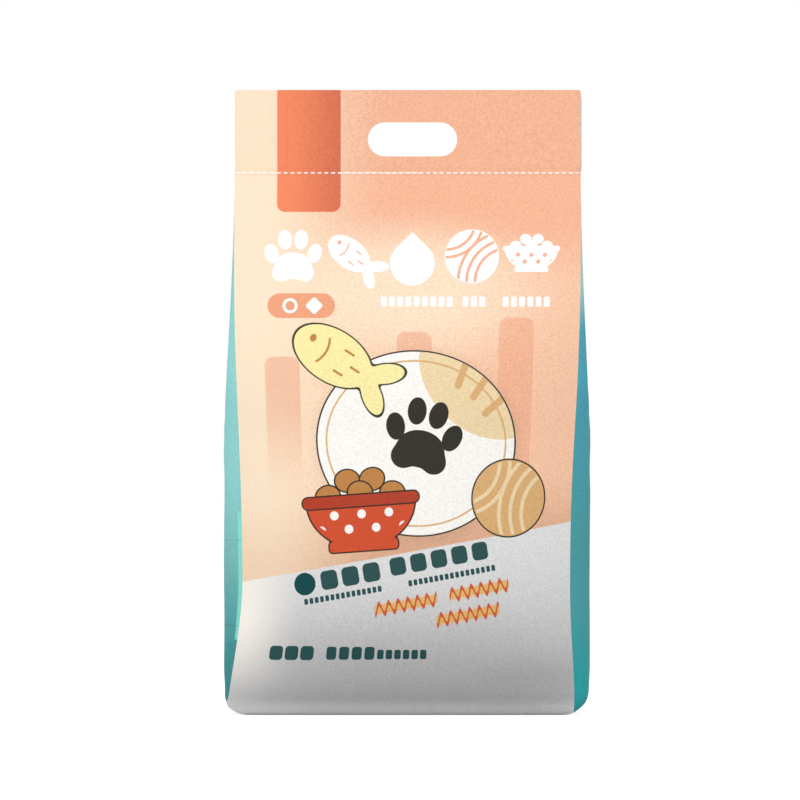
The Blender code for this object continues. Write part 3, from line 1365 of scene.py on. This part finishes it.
    def still_life(self, press: Press) -> None:
        """A bowl and a ball of wool, which stand on the edge of the foot field.

        Args:
            press: The panel's press.
        """
        food_bowl = bowl(Ink.RED, Ink.DEEP_RED, Ink.MILK, Ink.BROWN, outline=self.outline)
        press.stamp(wool(Ink.TAN, Ink.FAWN, outline=self.outline), (90, 184), scale=1.0, turn=20)
        press.stamp(food_bowl, (-40, 168), scale=0.95, turn=4)

    def title(self, press: Press) -> None:
        """Five white signs in a row, a line of small blocks and a pill.

        Args:
            press: The panel's press.
        """
        signs = (
            (paw(Ink.WHITE), 0.49, 0.0),
            (fish(Ink.WHITE, Ink.PEACH), 0.62, -38.0),
            (drop(Ink.WHITE), 1.0, 0.0),
            (wool(Ink.WHITE, Ink.PEACH), 0.72, 0.0),
            (bowl(Ink.WHITE, Ink.WHITE, Ink.PEACH, Ink.WHITE), 0.45, 0.0),
        )
        first = -97
        for i, (sign, scale, turn) in enumerate(signs):
            press.stamp(sign, (first + self.signs_pitch * i, self.signs_height), scale, turn)
        for at, letters in ((8, 9), (56.5, 3), (101, 6)):
            press.lay(Layer(words((at, 349.5), letters, (5.0, 8.6), 7.0), Ink.WHITE))
        pill_height = 346
        press.lay(Layer(Bar((-90, pill_height), (57.5, 21), corner=10.5), Ink.PILL))
        press.lay(Layer(Ring((-99.5, pill_height), 5.2, 2.4), Ink.WHITE))
        press.lay(Layer(Bar((-79, pill_height), (11, 11), corner=2, turn=45), Ink.WHITE))

    def foot_lines(self, press: Press) -> None:
        """The lines of blocks on the foot field, most of them along its slope.

        Args:
            press: The panel's press.
        """
        slope = seen_from(press.tree, press.film, (0, self.edge_height), self.edge_turn)
        press.lay(Layer(Blob((-94, -11), (19, 19)), Ink.PINE), slope)
        sloping = (
            words((-53, -11), 3, (15, 16), 19),
            words((-62, -26), 15, (3.2, 5), 4.7),
            words((27, -10), 5, (14, 15), 18.5),
            words((36, -26), 17, (3.2, 5), 4.7),
        )
        for line in sloping:
            press.lay(Layer(line, Ink.PINE), slope)
        for at, length in (((-8, -43), 56), ((58, -42), 54), ((45, -61), 57)):
            press.lay(Layer(Bar(at, (length, 8), corner=3), Ink.OCHRE, softness=1.2, strength=0.9), slope)
            press.lay(Layer(Wave(at, length, 9, 8.6, 1.7), Ink.RUST), slope)
        level = (
            words((-98, 53.5), 3, (11.5, 12), 13.4),
            words((-47, 53.5), 4, (8.6, 11), 11),
            words((-2.5, 52.5), 6, (5.6, 8), 7.4),
        )
        for line in level:
            press.lay(Layer(line, Ink.PINE))

    def leaflet(self, press: Press) -> None:
        """The back's two pale panels of small blocks, one with three signs, and a label of plain bars.

        Args:
            press: The panel's press.
        """
        for across in (-self.leaflet_offset, self.leaflet_offset):
            leaf = Bar((across, self.leaflet_height), self.leaflet_size, corner=8)
            press.lay(Layer(leaf, Ink.MILK, strength=0.85))
        signs = ((paw(Ink.WHITE), 0.23), (fish(Ink.WHITE, Ink.TEAL_DEEP), 0.29), (drop(Ink.WHITE), 0.46))
        for i, (sign, scale) in enumerate(signs):
            height = self.leaflet_height + 46 * (1 - i)
            press.lay(Layer(Blob((-108, height), (32, 32)), Ink.TEAL_DEEP))
            press.stamp(sign, (-108, height), scale)
            press.lay(Layer(small_print((-52, height), 13, 3), Ink.PINE))
        press.lay(Layer(small_print((self.leaflet_offset, self.leaflet_height), 19, 15), Ink.PINE))
        thin = Bar(self.label_at, (0.9, 40), corner=0.2, pitch=(3.1, 0.0))
        wide = Bar(self.label_at, (1.7, 40), corner=0.2, pitch=(7.3, 0.0))
        press.lay(Layer(Bar(self.label_at, (62, 42), corner=3), Ink.MILK))
        press.lay(Layer(Shared((Joined((thin, wide)), Bar(self.label_at, (50, 30)))), Ink.OUTLINE))

    def seam(self, press: Press) -> None:
        """The lapped seam down the back: painted shade along its free edge, and the fainter line that the
        sealing bar leaves.

        Args:
            press: The panel's press.
        """
        # The stronger line, on the free edge, is painted shade; the fainter one is the sealing bar's mark
        for across, strength in ((-self.seam_reach, 0.2), (self.seam_reach, 0.45)):
            line = Bar((across, 265), (0.8, 540), corner=0.2)
            press.lay(Layer(line, Ink.SHADE, softness=0.4, strength=strength))

    def tear_line(self, press: Press) -> None:
        """A row of white dashes along the seal, with a faint line of painted shade under the seal's crease
        and a painted highlight along part of the crease.

        Args:
            press: The panel's press.
        """
        # A faint line of painted shade under the seal's crease
        groove = Bar((0, self.tear_height - 1.4), (self.width, 1.0), corner=0.4)
        dashes = Bar((0, self.tear_height), self.dash, corner=0.5, pitch=(self.dash_pitch, 0.0))
        run = Bar((0, self.tear_height), (self.width - 4, 3))
        # A painted highlight where the crease catches the light, over the dashes
        closed = Bar((-24, self.tear_height), (70, 0.8), corner=0.3)
        press.lay(Layer(groove, Ink.SHADE, strength=0.12))
        press.lay(Layer(Shared((dashes, run)), Ink.WHITE, strength=0.8))
        press.lay(Layer(closed, Ink.WHITE, strength=0.6))


@dataclass(frozen=True)
class GussetPrint:
    """The print of one gusset: teal, deepened towards the foot by painted shade, with a dark line painted as
    the shade of its middle fold.

    The two gussets are lit and shaded copies of one teal, the left one painted paler. The left one also has
    a painted highlight strip along its front crease and painted shade lines across it at two folds.
    """

    hand: Hand
    laminate: MattLaminate
    # Where the painted highlight strip lies, and its size
    highlight_strip_at: Pair = (-41.5, 118)
    highlight_strip_size: Pair = (5.2, 108)
    step_height: float = 61.0

    def dress(self) -> bpy.types.Material:
        """Prints the gusset and varnishes it.

        Returns:
            The gusset's material.
        """
        material, tree = new_material(self.laminate.name)
        if self.hand is Hand.LEFT:
            # The left gusset's paler teal is painted light, a lit copy of the right one's teal
            press = Press(tree, Ink.AQUA)
            # Deeper towards the foot: painted shade
            press.flood(Fade(Ink.AQUA_PAINTED_SHADE, (0, 225), (0, 0)))
            # Painted highlight along the front crease
            strip = Bar(self.highlight_strip_at, self.highlight_strip_size, corner=1)
            press.lay(Layer(strip, Ink.MINT_PAINTED_HIGHLIGHT, softness=0.8, strength=0.72))
            # Darker below the step: painted shade
            press.lay(Layer(Below((0, self.step_height)), Ink.PINE, softness=0.5, strength=0.1))
            # Painted shade lines across the gusset at two folds
            for height in (148, 76):
                line = Bar((0, height), (86, 0.8), corner=0.3)
                press.lay(Layer(line, Ink.PINE, softness=0.6, strength=0.22))
        else:
            press = Press(tree, Ink.TEAL_PALE)
            # Paler at the top and deeper towards the foot; the deepening is painted shade
            press.flood(
                Fade(Ink.TEAL, (0, 370), (0, 320)),
                Fade(Ink.TEAL_GREY, (0, 290), (0, 120)),
                Fade(Ink.TEAL_DEEP, (0, 110), (0, 20)),
            )
        # Painted shade along the middle fold
        fold = Bar((0, 230), (0.9, 460), corner=0.4)
        press.lay(Layer(fold, Ink.PINE, softness=0.5, strength=0.35))
        self.laminate.finish(tree, press.colour)
        return material


@dataclass(frozen=True)
class FootPrint:
    """The underside: the foot field's stone grey, with painted shade lines along the folds of the two tucked
    ends.
    """

    laminate: MattLaminate
    reach: float = 135.0
    fold_run: float = 32.0

    def dress(self) -> bpy.types.Material:
        """Prints the foot and varnishes it.

        Returns:
            The foot's material.
        """
        material, tree = new_material(self.laminate.name)
        press = Press(tree, Ink.STONE)
        for hand in (-1, 1):
            for way in (-1, 1):
                at = (hand * (self.reach - self.fold_run / 2), way * self.fold_run / 2)
                fold = Bar(at, (self.fold_run * 1.4, 0.8), corner=0.3, turn=45 * hand * way)
                # Painted shade along each fold
                press.lay(Layer(fold, Ink.SHADE, softness=0.5, strength=0.4))
        self.laminate.finish(tree, press.colour)
        return material


@dataclass(frozen=True)
class CutFilmEdge:
    """The raw edge of die-cut film: the white core of each ply, with a grey line between plies."""

    name: str = "die_cut_polyethylene_edge"
    ply_mm: float = 0.45
    line_share: float = 0.4
    roughness: float = 0.6
    ior: float = 1.51

    def dress(self) -> bpy.types.Material:
        """Makes the edge's material.

        Returns:
            The material.
        """
        material, tree = new_material(self.name)
        place = add_node(tree, "TexCoord").outputs["Object"]
        depth = add_node(tree, "SeparateXYZ", {0: place}).outputs["Y"]
        plies = {0: depth, 1: self.ply_mm * MM}
        between = add_node(tree, "Math", plies, operation="PINGPONG").outputs[0]
        inputs = {"Value": between, "From Min": 0.0, "From Max": self.ply_mm * MM * self.line_share}
        core = add_node(tree, "MapRange", inputs).outputs[0]
        line, film = linear(Ink.PLY_LINE.value), linear(Ink.FILM_CORE.value)
        colours = {MIX_FACTOR: core, MIX_UNDER: line, MIX_OVER: film}
        colour = add_node(tree, "Mix", colours, data_type="RGBA").outputs[MIX_RESULT]
        surface = {"Base Color": colour, "Roughness": self.roughness, "IOR": self.ior}
        shader = add_node(tree, "BsdfPrincipled", surface)
        add_node(tree, "OutputMaterial", {0: shader.outputs[0]})
        return material


@dataclass
class FilmBag:
    """The filled bag: one folded, sealed and printed tube of film."""

    form: BagForm
    name: str = "film_bag"
    panel_columns: int = 110
    gusset_columns: int = 26
    foot_rows: int = 9
    body_rows: int = 150
    header_rows: int = 22
    slot_width: float = 0.076
    slot_height: float = 0.029
    slot_drop: float = 0.042
    slot_offset: float = 0.004
    slot_arc_steps: int = 40
    cutter_reach: float = 0.020
    sharp_degrees: float = 48.0
    across: list[float] = field(init=False)
    along: list[float] = field(init=False)

    def __post_init__(self) -> None:
        """Sets the columns, with close ones at the creases, at the corners and at the back seam."""
        form = self.form
        columns = set(spread(-1, 1, self.panel_columns))
        seam = form.seam_width / 2
        tuck = form.half_width - form.half_gusset
        edges = [seam, seam + form.step_run, tuck - form.step_run, tuck]
        edges += [form.half_width - share * form.corner_radius for share in (0.1, 0.3, 0.6, 1.0)]
        for edge in edges:
            columns.update((edge / form.half_width, -edge / form.half_width))
        self.across = sorted(columns)
        self.along = spread(-1, 1, 2 * self.gusset_columns)

    def levels(self) -> list[float]:
        """The heights of the rows, from the floor to the top edge.

        Returns:
            The heights in metres.
        """
        form = self.form
        turns = spread(0, math.pi / 2, self.foot_rows)
        foot = [form.foot_radius * (1 - math.cos(turn)) for turn in turns[:-1]]
        body = spread(form.foot_radius, form.seal, self.body_rows)
        groove = [form.seal + form.seal_groove_width / 2]
        header = spread(form.seal + form.seal_groove_width, form.height, self.header_rows)
        return foot + body + groove + header

    def panel(self, side: Side) -> Patch:
        """One panel, from the floor to the top edge.

        Args:
            side: The panel.

        Returns:
            The patch.
        """
        form, levels = self.form, self.levels()
        part = Part.FRONT_PANEL if side is Side.FRONT else Part.BACK_PANEL
        points = [[form.panel_point(a, z, side) for a in self.across] for z in levels]
        marks = [[(-side.value * a * form.half_width / MM, z / MM) for a in self.across] for z in levels]
        return Patch(part, points, marks)

    def gusset(self, hand: Hand) -> Patch:
        """One gusset, from the floor to the seal, where its two halves meet in a line.

        Args:
            hand: The gusset.

        Returns:
            The patch.
        """
        form = self.form
        levels = [z for z in self.levels() if z < form.seal - form.step_run]
        points = [[form.gusset_point(a, z, hand) for a in self.along] for z in levels]
        shut = [form.gusset_point(a, form.seal, hand) for a in self.along]
        points.append([Vector((p.x, 0.0, form.seal)) for p in shut])
        levels.append(form.seal)
        marks = [[(a * form.half_gusset / MM, z / MM) for a in self.along] for z in levels]
        return Patch(GUSSET_PARTS[hand], points, marks)

    def crease(self, hand: Hand, side: Side) -> Patch:
        """The narrow strip of turned film between a panel and a gusset.

        Args:
            hand: The gusset.
            side: The panel.

        Returns:
            The patch.
        """
        form = self.form
        levels = [z for z in self.levels() if z < form.seal - form.step_run] + [form.seal]
        panel = [form.panel_point(hand.value, z, side) for z in levels]
        gusset = [form.gusset_point(side.value, z, hand) for z in levels]
        gusset[-1] = Vector((gusset[-1].x, 0.0, form.seal))
        points = [list(pair) for pair in zip(panel, gusset)]
        mark = side.value * form.half_gusset / MM
        return Patch(GUSSET_PARTS[hand], points, [[(mark, z / MM), (mark, z / MM)] for z in levels])

    def header_side(self, hand: Hand) -> Patch:
        """The folded edge of the header on one side.

        Args:
            hand: The side.

        Returns:
            The patch.
        """
        form = self.form
        levels = [z for z in self.levels() if z >= form.seal - form.step_run]
        rows = []
        for z in levels:
            front, back = (form.panel_point(hand.value, z, side) for side in Side)
            middle = (front + back) / 2
            middle.y = form.sway(middle.x, z) if z > form.seal else 0.0
            if hand is Hand.RIGHT:
                clear = min(z - form.seal, form.height - form.corner_radius - z) / form.corner_radius
                middle.x += form.ply_proud * clamp(clear)
            rows.append([front, middle, back])
        return Patch(GUSSET_PARTS[hand], rows, [[(0.0, z / MM)] * 3 for z in levels])

    def top_edge(self) -> Patch:
        """The cut edge along the top of the header.

        Returns:
            The patch.
        """
        form = self.form
        front, back = ([form.panel_point(a, form.height, side) for a in self.across] for side in Side)
        middle = [(p + q) / 2 for p, q in zip(front, back)]
        for point in middle:
            point.y = form.sway(point.x, form.height)
        rows = [front, middle, back]
        return Patch(Part.CUT_EDGE, rows, [[(0.0, 0.0)] * len(self.across) for _ in rows])

    def foot(self) -> Patch:
        """The flat foot, with the two lines of its folded seal fin.

        Returns:
            The patch.
        """
        form = self.form
        front, back = ([form.panel_point(a, 0.0, side) for a in self.across] for side in Side)
        ends = []
        for hand in Hand:
            near, far = (form.panel_point(hand.value, 0.0, side) for side in Side)
            ends.append([near, *(form.gusset_point(a, 0.0, hand) for a in self.along), far])
        rows = []
        for left, right, depth in zip(*ends, spread(0, 1, len(ends[0]) - 1)):
            row = []
            for near, far, a in zip(front, back, self.across):
                width = (a + 1) / 2
                ruled = near.lerp(far, depth) + left.lerp(right, width)
                corners = front[0].lerp(front[-1], width).lerp(back[0].lerp(back[-1], width), depth)
                row.append(ruled - corners)
            rows.append(row)
        for row in rows[1:-1]:
            for point in row[1:-1]:
                lines = (abs(point.y), abs(point.y - form.fin_width))
                point.z += form.fin_groove * max(clamp(1 - d / (2 * form.fin_groove)) for d in lines)
        marks = [[(p.x / MM, p.y / MM) for p in row] for row in rows]
        return Patch(Part.FOOT, rows, marks)

    def slot_cutter(self) -> bpy.types.Object:
        """A bar with round ends, the shape of the hand slot.

        Returns:
            The bar, with its faces marked as cut film.
        """
        radius = self.slot_height / 2
        straight = self.slot_width / 2 - radius
        centre = self.form.height - self.slot_drop
        mesh = bmesh.new()
        near = []
        for hand in (1, -1):
            for turn in spread(-math.pi / 2, math.pi / 2, self.slot_arc_steps):
                x = self.slot_offset + hand * (straight + radius * math.cos(turn))
                near.append(mesh.verts.new((x, -self.cutter_reach, centre + hand * radius * math.sin(turn))))
        cap = mesh.faces.new(near)
        bar = bmesh.ops.extrude_face_region(mesh, geom=[cap])
        far = [v for v in bar["geom"] if isinstance(v, bmesh.types.BMVert)]
        bmesh.ops.translate(mesh, vec=(0, 2 * self.cutter_reach, 0), verts=far)
        bmesh.ops.recalc_face_normals(mesh, faces=mesh.faces)
        for face in mesh.faces:
            face.material_index = Part.CUT_EDGE.value
        return to_scene("slot_cutter", mesh)

    def punch_slot(self, shell: bpy.types.Object) -> None:
        """Cuts the hand slot through the header and keeps the result as the shell's mesh.

        Args:
            shell: The bag, whose mesh is replaced.
        """
        cutter = self.slot_cutter()
        for material in shell.data.materials:
            cutter.data.materials.append(material)
        punch = shell.modifiers.new("hand_slot", "BOOLEAN")
        punch.operation = "DIFFERENCE"
        punch.solver = "EXACT"
        punch.object = cutter
        graph = bpy.context.evaluated_depsgraph_get()
        cut = bpy.data.meshes.new_from_object(shell.evaluated_get(graph), depsgraph=graph)
        shell.modifiers.clear()
        shell.data = cut
        bpy.data.objects.remove(cutter)

    def build(self) -> bpy.types.Object:
        """Builds the shell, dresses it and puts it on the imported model's body.

        Returns:
            The bag.
        """
        surface = ShellMesh()
        for side in Side:
            surface.add(self.panel(side))
        for hand in Hand:
            surface.add(self.gusset(hand))
            surface.add(self.header_side(hand))
            for side in Side:
                surface.add(self.crease(hand, side))
        surface.add(self.top_edge())
        surface.add(self.foot())
        shell = surface.to_object(self.name)
        for material in self.materials():
            shell.data.materials.append(material)
        self.punch_slot(shell)
        shell.data.set_sharp_from_angle(angle=math.radians(self.sharp_degrees))
        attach(shell, "root")
        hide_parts(NODE_NAME)
        return shell

    def materials(self) -> list[bpy.types.Material]:
        """Dresses the shell's parts, in the order of their material slots.

        Returns:
            The materials.
        """
        film = "matt_printed_laminate_"
        prints = [PanelPrint(side, MattLaminate(film + side.name.lower())) for side in Side]
        for hand in Hand:
            laminate = MattLaminate(f"{film}{hand.name.lower()}_gusset", **GUSSET_VARNISH)
            prints.append(GussetPrint(hand, laminate))
        prints += [FootPrint(MattLaminate(film + "foot")), CutFilmEdge()]
        return [one.dress() for one in prints]


@dataclass(frozen=True)
class Lamp:
    """A soft box that faces the bag."""

    name: str
    azimuth: float
    elevation: float
    distance: float
    size: Pair
    level: float

    def place(self, aim: Vector) -> None:
        """Hangs the lamp, with its power worked out from the level that it lends a surface facing it.

        Args:
            aim: The point that it faces.
        """
        data = bpy.data.lights.new(self.name, "AREA")
        data.shape = "RECTANGLE"
        data.size, data.size_y = self.size
        data.energy = math.pi**2 * self.distance**2 * self.level
        lamp = bpy.data.objects.new(self.name, data)
        azimuth, elevation = math.radians(self.azimuth), math.radians(self.elevation)
        level = math.cos(elevation)
        away = Vector((math.sin(azimuth) * level, -math.cos(azimuth) * level, math.sin(elevation)))
        lamp.location = aim + away * self.distance
        lamp.rotation_euler = away.to_track_quat("Z", "Y").to_euler()
        lamp.visible_camera = False
        bpy.context.scene.collection.objects.link(lamp)


@dataclass(frozen=True)
class Studio:
    """A plain floor and a white sky with soft boxes, and the long lens that the photo was taken with."""

    aim: Vector
    lamps: tuple[Lamp, ...]
    picture_width: float
    picture_centre: Pair
    camera_distance: float = 6.0
    sensor: float = 36.0
    floor_reach: float = 12.0
    floor_colour: str = "#B4B4B4"
    floor_glow: float = 0.78
    sky_level: float = 0.36

    def hang_lamps(self) -> None:
        """Hangs all the soft boxes."""
        for lamp in self.lamps:
            lamp.place(self.aim)

    def shown(self, tree: bpy.types.NodeTree) -> Socket:
        """Tells the rays that show a surface from those that only carry its light.

        Args:
            tree: The surface's node tree.

        Returns:
            1 for rays that show it, and 0 for the others.
        """
        path = add_node(tree, "LightPath").outputs
        shown = path[SHOWING_RAYS[0]]
        for ray in SHOWING_RAYS[1:]:
            shown = add_node(tree, "Math", {0: shown, 1: path[ray]}, operation="MAXIMUM").outputs[0]
        return shown

    def lay_floor(self) -> None:
        """A plain floor that the camera sees as near white, and that keeps the bag's shadow."""
        mesh = bmesh.new()
        bmesh.ops.create_circle(mesh, cap_ends=True, segments=96, radius=self.floor_reach)
        floor = to_scene("floor", mesh)
        # Matt emulsion paint: it keeps the shadow and mirrors nothing
        material, tree = new_material("painted_floor")
        glow = {0: self.shown(tree), 1: self.floor_glow}
        glow = add_node(tree, "Math", glow, operation="MULTIPLY").outputs[0]
        shader = add_node(
            tree,
            "BsdfPrincipled",
            {
                "Base Color": linear(self.floor_colour),
                "Roughness": 0.9,
                "Emission Color": (1, 1, 1, 1),
                "Emission Strength": glow,
            },
        )
        add_node(tree, "OutputMaterial", {0: shader.outputs[0]})
        floor.data.materials.append(material)

    def light_sky(self) -> None:
        """Even light from all round, which the camera sees as white."""
        world = bpy.data.worlds.new("sky")
        world.use_nodes = True
        tree = world.node_tree
        tree.nodes.clear()
        inputs = {"Value": self.shown(tree), "To Min": self.sky_level, "To Max": 1.0}
        level = add_node(tree, "MapRange", inputs).outputs[0]
        sky = add_node(tree, "Background", {"Color": (1, 1, 1, 1), "Strength": level})
        add_node(tree, "OutputWorld", {0: sky.outputs[0]})
        bpy.context.scene.world = world

    def set_camera(self) -> None:
        """A camera straight in front, at the height of the picture's middle."""
        data = bpy.data.cameras.new("camera")
        data.sensor_width = self.sensor
        data.lens = self.sensor * self.camera_distance / self.picture_width
        data.clip_end = 100.0
        camera = bpy.data.objects.new("camera", data)
        camera.location = (self.picture_centre[0], -self.camera_distance, self.picture_centre[1])
        camera.rotation_euler = (math.pi / 2, 0, 0)
        bpy.context.scene.collection.objects.link(camera)
        bpy.context.scene.camera = camera

    def build(self) -> None:
        """Sets up the floor, the sky, the lamps and the camera."""
        self.lay_floor()
        self.light_sky()
        self.hang_lamps()
        self.set_camera()
        bpy.context.scene.view_settings.view_transform = "Standard"


def studio_for(form: BagForm) -> Studio:
    """The studio for a bag of this form.

    Args:
        form: The bag's form, in metres.

    Returns:
        The studio, with its camera framed as the photo is.
    """
    picture_pixels = 800
    # Where the photo has the plane through the bag's middle. The front is nearer, so its foot shows lower.
    bag_top_pixel, bag_foot_pixel, bag_middle_pixel = 90.0, 713.4, 407.8
    pixel = form.height / (bag_foot_pixel - bag_top_pixel)
    half = picture_pixels / 2
    lamps = (
        Lamp("key_softbox", azimuth=0, elevation=24, distance=5.0, size=(3.6, 2.4), level=0.465),
        Lamp("left_strip", azimuth=-76, elevation=14, distance=2.4, size=(0.6, 1.8), level=0.32),
        Lamp("right_fill", azimuth=50, elevation=25, distance=2.8, size=(1.2, 1.6), level=0.19),
        Lamp("back_softbox", azimuth=180, elevation=30, distance=4.5, size=(2.4, 2.0), level=0.5),
    )
    return Studio(
        aim=Vector((0, 0, form.height / 2)),
        lamps=lamps,
        picture_width=picture_pixels * pixel,
        picture_centre=((half - bag_middle_pixel) * pixel, (bag_foot_pixel - half) * pixel),
    )


def main() -> None:
    """Builds the bag and its studio in order, and reports each piece."""
    logging.basicConfig(level=logging.INFO, format="%(name)s: %(message)s")
    form = BagForm.from_frame()
    bag = FilmBag(form).build()
    log.info("%s: %d faces", bag.name, len(bag.data.polygons))
    studio_for(form).build()
    log.info("studio: floor, sky, lamps and camera")


if __name__ == "__main__":
    main()
